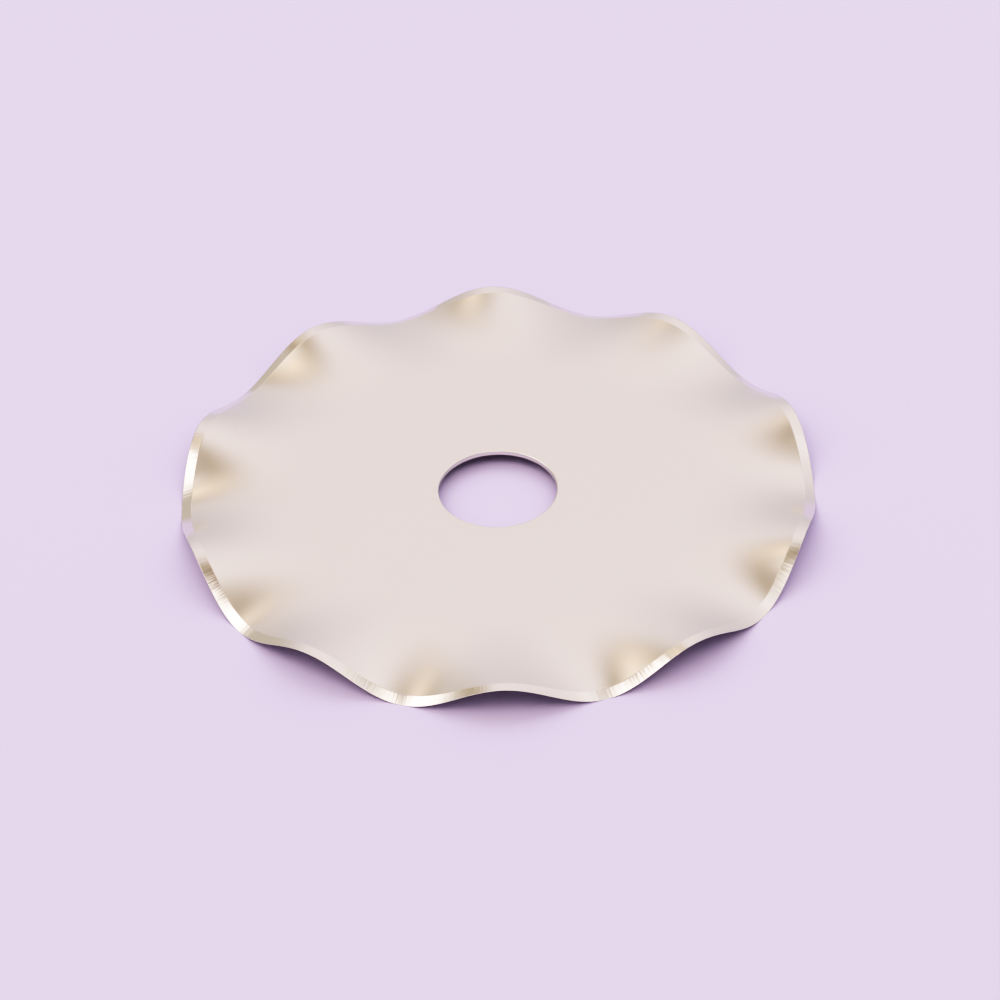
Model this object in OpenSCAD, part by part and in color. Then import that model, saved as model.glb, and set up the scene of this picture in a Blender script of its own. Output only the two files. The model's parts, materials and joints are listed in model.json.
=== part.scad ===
// Wavy rotary cutter blade
// A thin round blade, pressed into waves round its rim and ground to an edge on both faces.
// It lies flat, with the bore along Z and its middle at the origin, halfway through the sheet.
// Lengths are in millimetres and angles in degrees.

/* [Blank] */
// Diameter of the flat disc that the blade is pressed from, which is its nominal size
blank_d = 45; // [40:0.5:60]
// Thickness of the steel sheet
sheet_t = 0.35; // [0.2:0.05:0.5]
// Diameter of the hole that turns on the cutter's pin
bore_d = 8; // [6:0.5:10]
// Width of the chamfer that takes the burr off the hole's rims
bore_edge = 0.04; // [0.02:0.01:0.08]

/* [Waves] */
// Number of waves round the rim
waves = 10; // [6:1:14]
// Height of the waves at the rim, from trough to crest
wave_h = 1.94; // [0.6:0.02:2.2]
// How far the waves reach in from the rim, where the flat middle ends
wave_reach = 8; // [6:0.5:9]

/* [Cutting edge] */
// Width of the ground bevel on each face
bevel_w = 0.7; // [0.4:0.05:1.4]

/* [Smoothness] */
// Flat facets along one wave
wave_steps = 24; // [12:2:30]
// Rings of facets between the flat middle and the bevel
wave_rings = 7; // [4:1:8]

/* [Hidden] */
steel = [0.84, 0.81, 0.78];
bore_sides = 96;

// Pressing keeps the length of the blank's rim, so the taller the waves, the smaller the blade.
// A rim of radius r with waves of amplitude a has about the length of a circle of r + (waves a)^2 / 4r.
blank_r = blank_d / 2;
rim_r = (blank_r + sqrt(pow(blank_r, 2) - pow(waves * wave_h / 2, 2))) / 2;
bevel_r = rim_r - bevel_w;
flat_r = rim_r - wave_reach;
steps = waves * wave_steps;

// The waves rise from the flat middle as a parabola, and one of their crests lies on +Y
function rise(r) = (r - flat_r) / wave_reach;
function wave_angle(a) = waves * (a - 90);
function height(r, a) = wave_h / 2 * pow(rise(r), 2) * cos(wave_angle(a));

// Slopes of the sheet's middle surface, outwards and round the blade
function slope_out(r, a) = wave_h / wave_reach * rise(r) * cos(wave_angle(a));
function slope_round(r, a) = -waves / r * wave_h / 2 * pow(rise(r), 2) * sin(wave_angle(a));

// Direction square to the sheet, pointing up
function upright(r, a) =
    let (out = slope_out(r, a), round = slope_round(r, a))
    let (n = [round * sin(a) - out * cos(a), -out * sin(a) - round * cos(a), 1])
    n / norm(n);

// Point of the sheet, offset from its middle surface by d
function skin(r, a, d) = [r * cos(a), r * sin(a), height(r, a)] + d * upright(r, a);

// Half section of the sheet from the flat middle to the cutting edge and back, as radius and offset
upper_face = [for (i = [0:wave_rings]) [flat_r + (bevel_r - flat_r) * i / wave_rings, sheet_t / 2]];
lower_face = [for (i = [wave_rings:-1:0]) [upper_face[i][0], -sheet_t / 2]];
section = concat(upper_face, [[rim_r, 0]], lower_face);

// The whole pressed sheet, before its bore: the section swept round, over the waves
module wavy_sheet() {
    last = len(section) - 1;
    points = [for (p = section, k = [0:steps - 1]) skin(p[0], 360 * k / steps, p[1])];
    upper_flat = [for (k = [steps - 1:-1:0]) k];
    lower_flat = [for (k = [0:steps - 1]) last * steps + k];
    bands = [
        for (i = [0:last - 1], k = [0:steps - 1])
            let (here = i * steps, next = here + steps, after = (k + 1) % steps)
            each [
                [here + k, here + after, next + after],
                [here + k, next + after, next + k]
            ]
    ];
    polyhedron(points, concat([upper_flat], bands, [lower_flat]));
}

// What the bore takes away: a cylinder that flares at 45 degrees at both faces, and runs past them
module bore_cut() {
    wall = sheet_t / 2 - bore_edge;
    end = sheet_t;
    r = bore_d / 2;
    flare = r + end - wall;
    rotate_extrude($fn = bore_sides)
        polygon([[0, -end], [flare, -end], [r, -wall], [r, wall], [flare, end], [0, end]]);
}

module blade() {
    color(steel)
        difference() {
            wavy_sheet();
            bore_cut();
        }
}

blade();
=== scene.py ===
import json
import math

import bpy
from bpy.props import FloatProperty, FloatVectorProperty, IntProperty, PointerProperty
from mathutils import Matrix, Vector


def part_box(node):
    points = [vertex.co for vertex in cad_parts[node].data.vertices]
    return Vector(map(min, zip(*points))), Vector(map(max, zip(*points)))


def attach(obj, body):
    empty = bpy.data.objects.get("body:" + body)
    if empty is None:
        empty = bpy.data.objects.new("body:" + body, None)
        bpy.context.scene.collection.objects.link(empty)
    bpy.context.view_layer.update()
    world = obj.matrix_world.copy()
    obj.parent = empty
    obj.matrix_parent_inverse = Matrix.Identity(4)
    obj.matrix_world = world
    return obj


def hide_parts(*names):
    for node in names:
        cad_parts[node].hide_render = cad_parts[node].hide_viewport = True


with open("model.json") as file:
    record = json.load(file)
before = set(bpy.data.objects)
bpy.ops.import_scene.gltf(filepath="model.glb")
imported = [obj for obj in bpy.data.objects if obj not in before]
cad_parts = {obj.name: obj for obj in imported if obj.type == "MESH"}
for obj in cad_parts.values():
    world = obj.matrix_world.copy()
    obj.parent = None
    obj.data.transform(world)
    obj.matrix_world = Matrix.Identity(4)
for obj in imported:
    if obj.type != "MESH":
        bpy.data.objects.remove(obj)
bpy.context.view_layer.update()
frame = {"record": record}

bl_info = {
    "name": "Wavy Rotary Blade",
    "version": (1, 0, 0),
    "blender": (4, 5, 0),
    "location": "3D View > Sidebar > Blade",
    "description": "Presses and grinds a wavy rotary cutter blade, and lights it in a small studio",
    "category": "Add Mesh",
}

MM = 0.001
MICRON = 0.001 * MM
NODE = "blade"
BODY = "root"

# Sizes that the frame already holds
LOW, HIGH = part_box(NODE)
MOUNTS = {mount["name"]: mount for mount in frame["record"]["mounts"]}
RIM_RADIUS = (HIGH.y - LOW.y) / 2
WAVE_HEIGHT = HIGH.z - LOW.z
BORE_RADIUS = MOUNTS["bore"]["dims"]["r_mm"] * MM
SHEET = 2 * MOUNTS["upper_face"]["pos_m"][2]


class Value:
    """A socket that Python arithmetic turns into Math nodes, in a geometry or a shader tree."""

    def __init__(self, graph, socket):
        self.graph = graph
        self.socket = socket

    def output(self, name):
        return Value(self.graph, self.socket.node.outputs[name])

    def math(self, operation, *others):
        return self.graph.node("ShaderNodeMath", {"operation": operation}, [self, *others])

    def __add__(self, other):
        return self.math("ADD", other)

    __radd__ = __add__

    def __mul__(self, other):
        return self.math("MULTIPLY", other)

    __rmul__ = __mul__

    def __sub__(self, other):
        return self.math("SUBTRACT", other)

    def __rsub__(self, other):
        return self * -1 + other

    def __truediv__(self, other):
        return self.math("DIVIDE", other)

    def __rtruediv__(self, other):
        return self.math("POWER", -1) * other

    def __pow__(self, other):
        return self.math("POWER", other)

    def __neg__(self):
        return self * -1

    def step(self, low, high):
        """0 below low and 1 above high, with a smooth rise between. High may be the lower one."""
        settings = {"interpolation_type": "SMOOTHSTEP"}
        return self.graph.node("ShaderNodeMapRange", settings, [self, low, high, 0, 1])


class Graph:
    """Adds nodes to a tree, each from its type, its settings and what its sockets hold."""

    def __init__(self, tree):
        self.tree = tree

    def node(self, kind, settings=None, values=()):
        new = self.tree.nodes.new(kind)
        for name, setting in (settings or {}).items():
            setattr(new, name, setting)
        pairs = values.items() if isinstance(values, dict) else enumerate(values)
        for key, value in pairs:
            if isinstance(value, Value):
                self.tree.links.new(value.socket, new.inputs[key])
            else:
                new.inputs[key].default_value = value
        shown = [socket for socket in new.outputs if socket.enabled]
        return Value(self, shown[0]) if shown else None

    def vector(self, x, y, z):
        return self.node("ShaderNodeCombineXYZ", None, [x, y, z])

    def split(self, vector):
        parts = self.node("ShaderNodeSeparateXYZ", None, [vector])
        return parts, parts.output("Y"), parts.output("Z")

    def mix(self, share, first, second):
        """first where share is 0 and second where it is 1. Both are colours."""
        new = self.tree.nodes.new("ShaderNodeMix")
        new.data_type = "RGBA"
        # The node keeps its colours in inputs 6 and 7 and in output 2
        for index, value in ((0, share), (6, first), (7, second)):
            if isinstance(value, Value):
                self.tree.links.new(value.socket, new.inputs[index])
            elif index:
                new.inputs[index].default_value = (*value, 1)
            else:
                new.inputs[index].default_value = value
        return Value(self, new.outputs[2])


class BladeShape(bpy.types.PropertyGroup):
    rim_radius: FloatProperty(
        name="Rim radius", description="From the bore's axis to the cutting edge",
        default=RIM_RADIUS, min=0.01, precision=5, subtype="DISTANCE", unit="LENGTH")
    bore_radius: FloatProperty(
        name="Bore radius", description="Of the hole that turns on the cutter's pin",
        default=BORE_RADIUS, min=0.001, precision=5, subtype="DISTANCE", unit="LENGTH")
    bore_edge: FloatProperty(
        name="Bore chamfer", description="Width of the chamfer that takes the burr off the hole",
        default=0.04 * MM, min=0.01 * MM, precision=5, subtype="DISTANCE", unit="LENGTH")
    sheet: FloatProperty(
        name="Sheet", description="Thickness of the steel sheet",
        default=SHEET, min=0.1 * MM, precision=5, subtype="DISTANCE", unit="LENGTH")
    waves: IntProperty(
        name="Waves", description="Number of waves round the rim", default=10, min=3, max=24)
    wave_height: FloatProperty(
        name="Wave height", description="At the rim, from trough to crest",
        default=WAVE_HEIGHT, min=0.0, precision=5, subtype="DISTANCE", unit="LENGTH")
    wave_reach: FloatProperty(
        name="Wave reach", description="How far the waves reach in from the rim",
        default=8 * MM, min=MM, precision=5, subtype="DISTANCE", unit="LENGTH")
    bevel_width: FloatProperty(
        name="Bevel width", description="Width of the ground bevel on each face",
        default=0.7 * MM, min=0.2 * MM, precision=5, subtype="DISTANCE", unit="LENGTH")
    ring_gap: FloatProperty(
        name="Ring gap", description="Distance between rings of the mesh, over the waves",
        default=0.25 * MM, min=0.1 * MM, precision=5, subtype="DISTANCE", unit="LENGTH")
    wave_steps: IntProperty(
        name="Steps a wave", description="Steps of the mesh along one wave", default=72, min=12, max=96)


class SteelFinish(bpy.types.PropertyGroup):
    colour: FloatVectorProperty(
        name="Steel", description="What the bare steel mirrors of white light",
        default=(0.80, 0.785, 0.665), min=0, max=1, subtype="COLOR")
    sheet_roughness: FloatProperty(
        name="Sheet roughness", description="Of the satin rolled faces",
        default=0.22, min=0, max=1, subtype="FACTOR")
    ground_roughness: FloatProperty(
        name="Bevel roughness", description="Of the ground bevel",
        default=0.1, min=0, max=1, subtype="FACTOR")
    scratch_gap: FloatProperty(
        name="Grinding marks", description="Usual distance between the lines across the bevel",
        default=0.22 * MM, min=0.02 * MM, precision=6, subtype="DISTANCE", unit="LENGTH")
    mark_depth: FloatProperty(
        name="Mark depth", description="Of the grinding marks",
        default=10 * MICRON, min=0, precision=6, subtype="DISTANCE", unit="LENGTH")
    grain_depth: FloatProperty(
        name="Grain depth", description="Of the satin grain",
        default=0.25 * MICRON, min=0, precision=6, subtype="DISTANCE", unit="LENGTH")


class StudioLook(bpy.types.PropertyGroup):
    paper: FloatVectorProperty(
        name="Paper", description="Colour of the floor's paper",
        default=(0.598, 0.545, 0.70), min=0, max=1, subtype="COLOR")
    low_light: FloatVectorProperty(
        name="Low backdrop", description="Light from the backdrop near the floor",
        default=(0.81, 0.71, 0.84), min=0, soft_max=2, subtype="COLOR")
    high_light: FloatVectorProperty(
        name="High backdrop", description="Light from the backdrop overhead",
        default=(1.30, 1.09, 1.20), min=0, soft_max=2, subtype="COLOR")
    soft_box: FloatVectorProperty(
        name="Soft box", description="Light from the soft box over the left side",
        default=(3.2, 2.7, 2.8), min=0, soft_max=4, subtype="COLOR")
    reflector: FloatVectorProperty(
        name="Reflector", description="Light from the reflector over the right side",
        default=(1.50, 1.30, 1.44), min=0, soft_max=4, subtype="COLOR")
    slot: FloatVectorProperty(
        name="Slot", description="Light from the slot between backdrop and soft box",
        default=(0.56, 0.45, 0.385), min=0, soft_max=2, subtype="COLOR")
    slot_end: FloatVectorProperty(
        name="Slot's end", description="Light from the dim end of the slot, over the blade",
        default=(0.53, 0.42, 0.41), min=0, soft_max=2, subtype="COLOR")
    slot_core: FloatVectorProperty(
        name="Slot's middle", description="Light from the darkest part of the slot",
        default=(0.46, 0.37, 0.32), min=0, soft_max=2, subtype="COLOR")
    lamp: FloatVectorProperty(
        name="Lamp", description="Light from the warm lamp in the slot",
        default=(1.12, 0.88, 0.79), min=0, soft_max=4, subtype="COLOR")
    lamp_core: FloatVectorProperty(
        name="Lamp's middle", description="Light from the brightest part of the lamp",
        default=(2.0, 1.4, 1.15), min=0, soft_max=4, subtype="COLOR")
    gap: FloatVectorProperty(
        name="Gap", description="Light from the gap to the left of the backdrop",
        default=(0.68, 0.59, 0.57), min=0, soft_max=2, subtype="COLOR")
    room: FloatVectorProperty(
        name="Room", description="Light from the room behind the camera",
        default=(0.46, 0.44, 0.49), min=0, soft_max=2, subtype="COLOR")
    slot_turn: FloatProperty(
        name="Slot's slant", description="Turn of the slot from straight across",
        default=math.radians(41.8), subtype="ANGLE", unit="ROTATION")
    slot_width: FloatProperty(
        name="Slot's width", description="On the flat map of the sky", default=0.18, min=0, subtype="FACTOR")
    slot_softness: FloatProperty(
        name="Slot's softness", description="Half the width of its blurred edges, on the flat map of the sky",
        default=0.107, min=0.005, subtype="FACTOR")
    key_colour: FloatVectorProperty(
        name="Key light", description="Colour of the wide light above and beyond the blade",
        default=(0.68, 0.67, 1.0), min=0, max=1, subtype="COLOR")
    key_power: FloatProperty(
        name="Key power", description="Of the key light",
        default=11.4, min=0, subtype="POWER", unit="POWER")
    key_width: FloatProperty(
        name="Key width", description="Of the key light, from left to right",
        default=2.2, min=0.01, subtype="DISTANCE", unit="LENGTH")
    key_depth: FloatProperty(
        name="Key depth", description="Of the key light, from front to back",
        default=1.0, min=0.01, subtype="DISTANCE", unit="LENGTH")
    key_place: FloatVectorProperty(
        name="Key place", description="Middle of the key light, from the blade's middle",
        default=(0.0, 0.8, 0.8), subtype="TRANSLATION", unit="LENGTH")
    focal_length: FloatProperty(
        name="Focal length", description="Of the camera's lens, in millimetres on 36 mm film",
        default=194.47, min=10, unit="CAMERA")
    distance: FloatProperty(
        name="Distance", description="From the camera to the point that it looks at",
        default=0.36353, min=0.05, precision=4, subtype="DISTANCE", unit="LENGTH")
    elevation: FloatProperty(
        name="Elevation", description="How far the camera looks down",
        default=math.radians(39.61), subtype="ANGLE", unit="ROTATION")
    roll: FloatProperty(
        name="Roll", description="How far the camera leans to one side",
        default=math.radians(-1.64), subtype="ANGLE", unit="ROTATION")


def blade_section(shape):
    """The blade's flat half section, as radius and height: out along the upper face, back along the lower."""
    half = shape.sheet / 2
    edge = shape.bore_edge
    bevel_start = shape.rim_radius - shape.bevel_width
    wave_start = shape.rim_radius - shape.wave_reach
    # A ring of the mesh this close to a crease keeps it crisp under smooth shading
    crease = 0.03 * MM
    upper = [
        (shape.bore_radius, half - 2 * edge),
        (shape.bore_radius, half - edge),
        (shape.bore_radius + edge, half),
        (shape.bore_radius + 2 * edge, half),
    ]
    rings = round((bevel_start - wave_start) / shape.ring_gap)
    upper += [(wave_start + (bevel_start - crease - wave_start) * i / rings, half) for i in range(rings + 1)]
    for out in (0, crease, shape.bevel_width / 3, shape.bevel_width * 2 / 3, shape.bevel_width - crease):
        upper.append((bevel_start + out, half * (1 - out / shape.bevel_width)))
    lower = [(radius, -height) for radius, height in reversed(upper)]
    return upper + [(shape.rim_radius, 0)] + lower


def wave_press(shape, steel):
    """The node tree that sweeps a section round the bore and presses the waves into it."""
    tree = bpy.data.node_groups.new("wave_press", "GeometryNodeTree")
    sockets = tree.interface
    sockets.new_socket("Section", in_out="INPUT", socket_type="NodeSocketGeometry")
    inputs = {
        "Rim radius": ("NodeSocketFloat", shape.rim_radius),
        "Wave reach": ("NodeSocketFloat", shape.wave_reach),
        "Wave height": ("NodeSocketFloat", shape.wave_height),
        "Waves": ("NodeSocketInt", shape.waves),
        "Steps": ("NodeSocketInt", shape.waves * shape.wave_steps),
        "Finish": ("NodeSocketMaterial", steel),
    }
    chosen = {}
    for name, (kind, value) in inputs.items():
        socket = sockets.new_socket(name, in_out="INPUT", socket_type=kind)
        chosen[socket.identifier] = value
    sockets.new_socket("Blade", in_out="OUTPUT", socket_type="NodeSocketGeometry")
    graph = Graph(tree)
    given = graph.node("NodeGroupInput")
    rim, reach = given.output("Rim radius"), given.output("Wave reach")
    height, waves, steps = given.output("Wave height"), given.output("Waves"), given.output("Steps")

    # The flat blade: the section swept round a circle, each point keeping its radius, offset and turn
    outline = graph.node("GeometryNodeMeshToCurve", None, {"Mesh": given.output("Section")})
    place = graph.node("GeometryNodeInputPosition")
    kept = graph.node("GeometryNodeStoreNamedAttribute", {"data_type": "FLOAT_VECTOR", "domain": "POINT"}, {
        "Geometry": outline, "Name": "section", "Value": place})
    circle = graph.node("GeometryNodeCurvePrimitiveCircle", {"mode": "RADIUS"}, {
        "Resolution": steps, "Radius": rim})
    turned = graph.node("GeometryNodeStoreNamedAttribute", {"data_type": "FLOAT", "domain": "POINT"}, {
        "Geometry": circle, "Name": "turn", "Value": graph.node("GeometryNodeInputIndex")})
    swept = graph.node("GeometryNodeCurveToMesh", None, {"Curve": turned, "Profile Curve": kept})

    # The rule of the waves, with a crest on +Y, and the sheet's slopes outwards and round the bore
    section = graph.node(
        "GeometryNodeInputNamedAttribute", {"data_type": "FLOAT_VECTOR"}, {"Name": "section"})
    radius, _, offset = graph.split(section)
    turn = graph.node("GeometryNodeInputNamedAttribute", {"data_type": "FLOAT"}, {"Name": "turn"})
    angle = turn / steps * math.tau
    rise = ((radius - rim + reach) / reach).math("MAXIMUM", 0)
    phase = (angle - math.pi / 2) * waves
    crest = phase.math("COSINE")
    lift = height / 2 * rise ** 2
    slope_out = height / reach * rise * crest
    slope_round = -(waves / radius * lift * phase.math("SINE"))
    across, along = angle.math("COSINE"), angle.math("SINE")
    lean_x = slope_round * along - slope_out * across
    lean_y = -(slope_out * along) - slope_round * across
    square = offset / (lean_x ** 2 + lean_y ** 2 + 1).math("SQRT")
    pressed = graph.vector(
        radius * across + square * lean_x, radius * along + square * lean_y, lift * crest + square)
    moved = graph.node("GeometryNodeSetPosition", None, {"Geometry": swept, "Position": pressed})

    smooth = graph.node("GeometryNodeSetShadeSmooth", None, {"Geometry": moved, "Shade Smooth": True})
    whole = graph.node("GeometryNodeRealizeInstances", None, {"Geometry": smooth})
    finished = graph.node("GeometryNodeSetMaterial", None, {
        "Geometry": whole, "Material": given.output("Finish")})
    graph.node("NodeGroupOutput", None, [finished])
    return tree, chosen


def section_object(shape):
    """A closed line of edges in the XZ plane, which the wave press sweeps."""
    points = [(radius, 0, height) for radius, height in blade_section(shape)]
    mesh = bpy.data.meshes.new("section")
    mesh.from_pydata(points, [(i, (i + 1) % len(points)) for i in range(len(points))], [])
    blade = bpy.data.objects.new("pressed_blade", mesh)
    bpy.context.scene.collection.objects.link(blade)
    return blade


def plain_mesh(blade):
    """Turns what the blade's modifiers make into its own mesh, and takes them away."""
    seen = blade.evaluated_get(bpy.context.evaluated_depsgraph_get())
    mesh = bpy.data.meshes.new_from_object(seen)
    blade.modifiers.clear()
    blade.data = mesh
    for name in ("section", "turn"):
        if name in mesh.attributes:
            mesh.attributes.remove(mesh.attributes[name])


def steel_material(shape, finish):
    """Satin rolled steel, with a finely ground bevel round the rim."""
    material = bpy.data.materials.new("satin_steel")
    material.use_nodes = True
    tree = material.node_tree
    tree.nodes.clear()
    graph = Graph(tree)
    place = graph.node("ShaderNodeTexCoord").output("Object")
    x, y, _ = graph.split(place)
    radius = (x ** 2 + y ** 2) ** 0.5
    angle = y.math("ARCTAN2", x)
    bevel_start = shape.rim_radius - shape.bevel_width
    blend = 0.02 * MM
    ground = radius.step(bevel_start - blend, bevel_start + blend)

    # Grinding marks cross the bevel, close together round the rim and long along the radius
    mark_length = 4 * MM
    round_rim = angle * (shape.rim_radius / finish.scratch_gap)
    marks = graph.node("ShaderNodeTexNoise", {"noise_dimensions": "2D"}, {
        "Vector": graph.vector(round_rim, radius / mark_length, 0),
        "Scale": 1.0, "Detail": 3.0, "Roughness": 0.6})
    # The satin faces have a fine grain, and the rolls left them a little cloudy
    grains_per_metre, clouds_per_metre = 9000.0, 180.0
    grain = graph.node("ShaderNodeTexNoise", {"noise_dimensions": "3D"}, {
        "Vector": place, "Scale": grains_per_metre, "Detail": 3.0, "Roughness": 0.6})
    cloud = graph.node("ShaderNodeTexNoise", {"noise_dimensions": "3D"}, {
        "Vector": place, "Scale": clouds_per_metre, "Detail": 4.0, "Roughness": 0.55})
    cloudiness, streakiness = 0.06, 0.1
    roughness = (
        (1 - ground) * (finish.sheet_roughness + (cloud - 0.5) * cloudiness)
        + ground * (finish.ground_roughness + (marks - 0.5) * streakiness))
    relief = (1 - ground) * grain * finish.grain_depth + ground * marks * finish.mark_depth
    bump = graph.node("ShaderNodeBump", None, {"Strength": 1.0, "Distance": 1.0, "Height": relief})
    shader = graph.node("ShaderNodeBsdfPrincipled", None, {
        "Base Color": (*finish.colour, 1), "Metallic": 1.0, "Roughness": roughness, "Normal": bump})
    graph.node("ShaderNodeOutputMaterial", None, {"Surface": shader})
    return material


class ROTARY_OT_blade(bpy.types.Operator):
    """Sweep the ground section round the bore, press the waves and finish the steel"""

    bl_idname = "rotary.blade"
    bl_label = "Press and grind blade"

    def execute(self, context):
        shape = context.scene.blade_shape
        steel = steel_material(shape, context.scene.steel_finish)
        blade = section_object(shape)
        tree, chosen = wave_press(shape, steel)
        press = blade.modifiers.new("wave_press", "NODES")
        press.node_group = tree
        for identifier, value in chosen.items():
            press[identifier] = value
        plain_mesh(blade)
        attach(blade, BODY)
        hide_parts(NODE)
        return {"FINISHED"}


def studio_floor(look):
    """A wide plain sheet of paper under the blade's lowest point."""
    half = 4.0
    mesh = bpy.data.meshes.new("floor")
    corners = [(-half, -half, LOW.z), (half, -half, LOW.z), (half, half, LOW.z), (-half, half, LOW.z)]
    mesh.from_pydata(corners, [], [(0, 1, 2, 3)])
    floor = bpy.data.objects.new("floor", mesh)
    bpy.context.scene.collection.objects.link(floor)
    material = bpy.data.materials.new("paper")
    material.use_nodes = True
    graph = Graph(material.node_tree)
    graph.tree.nodes.clear()
    shader = graph.node("ShaderNodeBsdfPrincipled", None, {
        "Base Color": (*look.paper, 1), "Roughness": 0.9, "Specular IOR Level": 0.1})
    graph.node("ShaderNodeOutputMaterial", None, {"Surface": shader})
    mesh.materials.append(material)


def studio_sky(look):
    """The light all round: a pale backdrop ahead, a soft box over the left, a reflector over the right,
    a dim slot with a warm lamp between them, and the room behind the camera."""
    world = bpy.data.worlds.new("studio")
    world.use_nodes = True
    bpy.context.scene.world = world
    graph = Graph(world.node_tree)
    graph.tree.nodes.clear()
    x, y, z = graph.split(graph.node("ShaderNodeTexCoord").output("Generated"))
    # A flat map of the sky, with the zenith at 0, 0, the horizon at 1 from it and the backdrop ahead
    across = x / (z.math("MAXIMUM", 0) + 1)
    ahead = y / (z.math("MAXIMUM", 0) + 1)
    out = (across ** 2 + ahead ** 2) ** 0.5

    def spot(spot_x, spot_y, radius):
        """A round light with a soft rim."""
        full = 0.3 * radius
        return ((across - spot_x) ** 2 + (ahead - spot_y) ** 2).math("SQRT").step(radius, full)

    # The round lights, each by its middle and its radius on the map
    reflector = spot(0.19, -0.02, 0.29)
    slot_end = spot(-0.095, 0.039, 0.143)
    slot_core = spot(-0.045, 0.115, 0.07)
    lamp = spot(-0.183, 0.28, 0.146)
    lamp_core = spot(-0.19, 0.25, 0.05)

    # The slot between backdrop and soft box starts over the blade and slants down to the left
    slot_x, slot_y = 0.082, 0.044
    slant_x, slant_y = math.sin(look.slot_turn), math.cos(look.slot_turn)
    beside = (across - slot_x) * slant_x + (ahead - slot_y) * slant_y
    along = (ahead - slot_y) * slant_x - (across - slot_x) * slant_y
    half, soft = look.slot_width / 2, look.slot_softness

    # The soft edges of the other lights: where each begins on the map, and where the light is full
    slot_start, slot_stop = (-0.2, 0.0), (0.6, 0.5)
    room_far, room_high = (0.05, -0.25), (0.26, 0.40)
    box_low = (0.60, 0.30)
    side_right, side_low = (-0.42, -0.60), (0.66, 0.56)
    side_far, side_near = (0.35, 0.20), (-0.5, -0.3)
    gap_right, gap_near = (-0.05, -0.44), (0.16, 0.26)

    slot = beside.math("ABSOLUTE").step(half + soft, half - soft)
    slot = slot * along.step(*slot_start) * along.step(*slot_stop)
    behind = ahead.step(*room_far) * out.step(*room_high)
    over = beside.step(soft - half, -half - soft) * out.step(*box_low) * (1 - behind)
    side = across.step(*side_right) * ahead.step(*side_far) * ahead.step(*side_near) * out.step(*side_low)
    gap = across.step(*gap_right) * ahead.step(*gap_near)

    horizon_to_zenith = z.step(0.0, 1.0)
    sky = graph.mix(horizon_to_zenith, look.low_light, look.high_light)
    for mask, colour in (
        (behind, look.room),
        (reflector, look.reflector),
        (gap, look.gap),
        (over.math("MAXIMUM", side), look.soft_box),
        (slot, look.slot),
        (slot_end, look.slot_end),
        (slot_core, look.slot_core),
        (lamp, look.lamp),
        (lamp_core, look.lamp_core),
    ):
        sky = graph.mix(mask, sky, colour)
    shader = graph.node("ShaderNodeBackground", None, {"Color": sky, "Strength": 1.0})
    graph.node("ShaderNodeOutputWorld", None, {"Surface": shader})


def studio_key(look):
    """A wide light above and beyond the blade. Only the floor shows it, as the shadow under the edges."""
    data = bpy.data.lights.new("key", "AREA")
    data.shape = "ELLIPSE"
    data.size = look.key_width
    data.size_y = look.key_depth
    data.energy = look.key_power
    data.color = look.key_colour
    key = bpy.data.objects.new("key", data)
    key.visible_glossy = False
    key.location = look.key_place
    bpy.context.scene.collection.objects.link(key)


def studio_camera(look):
    """A long lens that looks down on the blade from the front."""
    data = bpy.data.cameras.new("camera")
    data.lens = look.focal_length
    nearest = 0.01
    data.clip_start = nearest
    camera = bpy.data.objects.new("camera", data)
    bpy.context.scene.collection.objects.link(camera)
    back = Vector((0, -math.cos(look.elevation), math.sin(look.elevation)))
    level = Vector((1, 0, 0))
    upright = back.cross(level)
    right = level * math.cos(look.roll) + upright * math.sin(look.roll)
    up = upright * math.cos(look.roll) - level * math.sin(look.roll)
    target = Vector((0.13, -1.00, 0)) * MM
    turned = Matrix((right, up, back)).transposed().to_4x4()
    camera.matrix_world = Matrix.Translation(target + back * look.distance) @ turned
    bpy.context.scene.camera = camera


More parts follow.
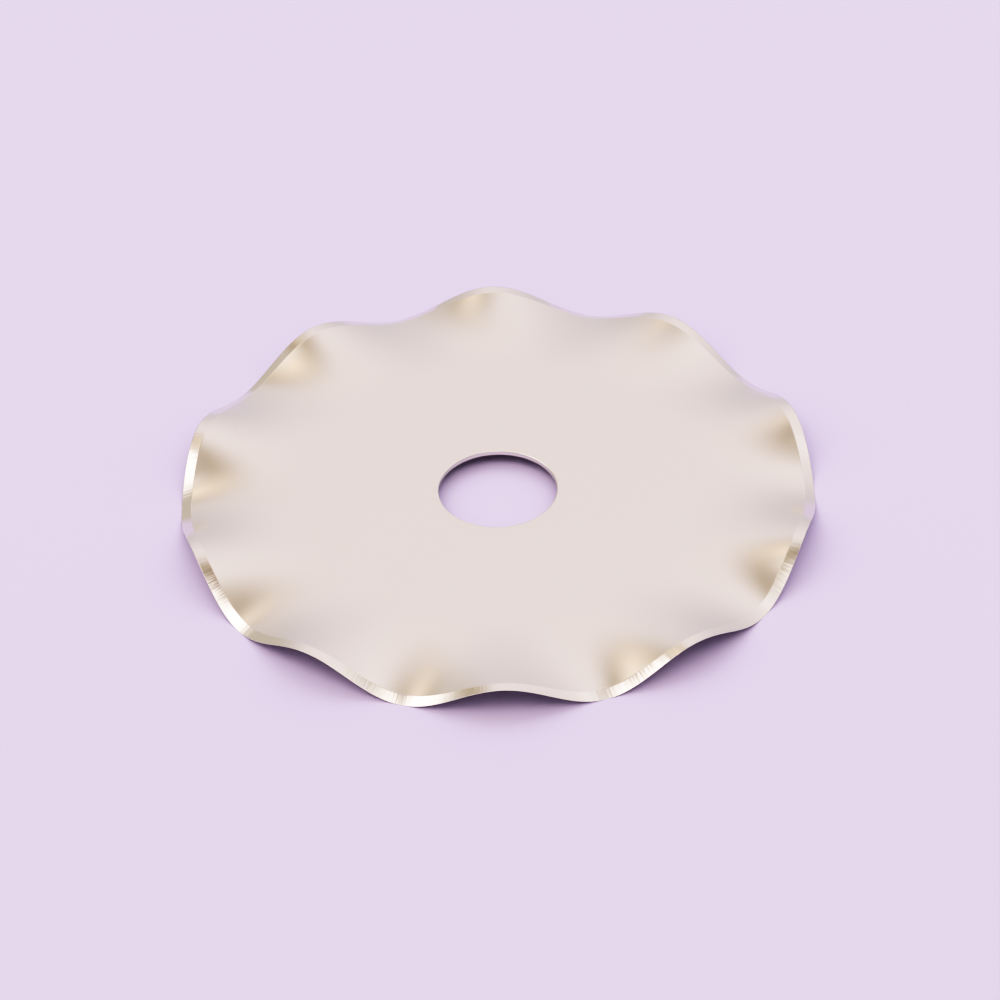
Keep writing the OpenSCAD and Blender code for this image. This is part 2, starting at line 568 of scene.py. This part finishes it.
def film_response(view):
    """Prints the picture as film would: shadows a little deeper and richer, bright parts gently held back."""
    view.view_transform = "Standard"
    view.use_curve_mapping = True
    # The print's brightness is ceiling * x / (x + middle), where x is the light to the power of contrast
    contrast, ceiling, middle = 1.83, 1.1, 0.3407
    brightest = 2.0
    levels = (0.05, 0.1, 0.15, 0.2, 0.3, 0.4, 0.5, 0.6, 0.7, 0.8, 0.9, 1.0, 1.2, 1.5)
    mapping = view.curve_mapping
    mapping.white_level = (brightest, brightest, brightest)
    all_colours = mapping.curves[3]
    for light in levels:
        exposed = light ** contrast
        all_colours.points.new(light / brightest, ceiling * exposed / (exposed + middle))
    mapping.update()


class ROTARY_OT_studio(bpy.types.Operator):
    """Lay the paper floor, hang the soft light and set the camera"""

    bl_idname = "rotary.studio"
    bl_label = "Set up studio"

    def execute(self, context):
        look = context.scene.studio_look
        studio_floor(look)
        studio_sky(look)
        studio_key(look)
        studio_camera(look)
        film_response(context.scene.view_settings)
        return {"FINISHED"}


class ROTARY_PT_panel(bpy.types.Panel):
    """Lists the blade's sizes, its finish and the studio, with a button for each step"""

    bl_idname = "ROTARY_PT_panel"
    bl_label = "Rotary blade"
    bl_space_type = "VIEW_3D"
    bl_region_type = "UI"
    bl_category = "Blade"

    def draw(self, context):
        for group, operator in (
            ("blade_shape", None), ("steel_finish", "rotary.blade"), ("studio_look", "rotary.studio")
        ):
            column = self.layout.column()
            settings = getattr(context.scene, group)
            for name in settings.__annotations__:
                column.prop(settings, name)
            if operator:
                column.operator(operator)


GROUPS = {"blade_shape": BladeShape, "steel_finish": SteelFinish, "studio_look": StudioLook}
CLASSES = (*GROUPS.values(), ROTARY_OT_blade, ROTARY_OT_studio, ROTARY_PT_panel)


def register():
    for cls in CLASSES:
        bpy.utils.register_class(cls)
    for name, group in GROUPS.items():
        setattr(bpy.types.Scene, name, PointerProperty(type=group))


def unregister():
    for name in GROUPS:
        delattr(bpy.types.Scene, name)
    for cls in reversed(CLASSES):
        bpy.utils.unregister_class(cls)


def main():
    register()
    bpy.ops.rotary.blade()
    bpy.ops.rotary.studio()


if __name__ == "__main__":
    main()
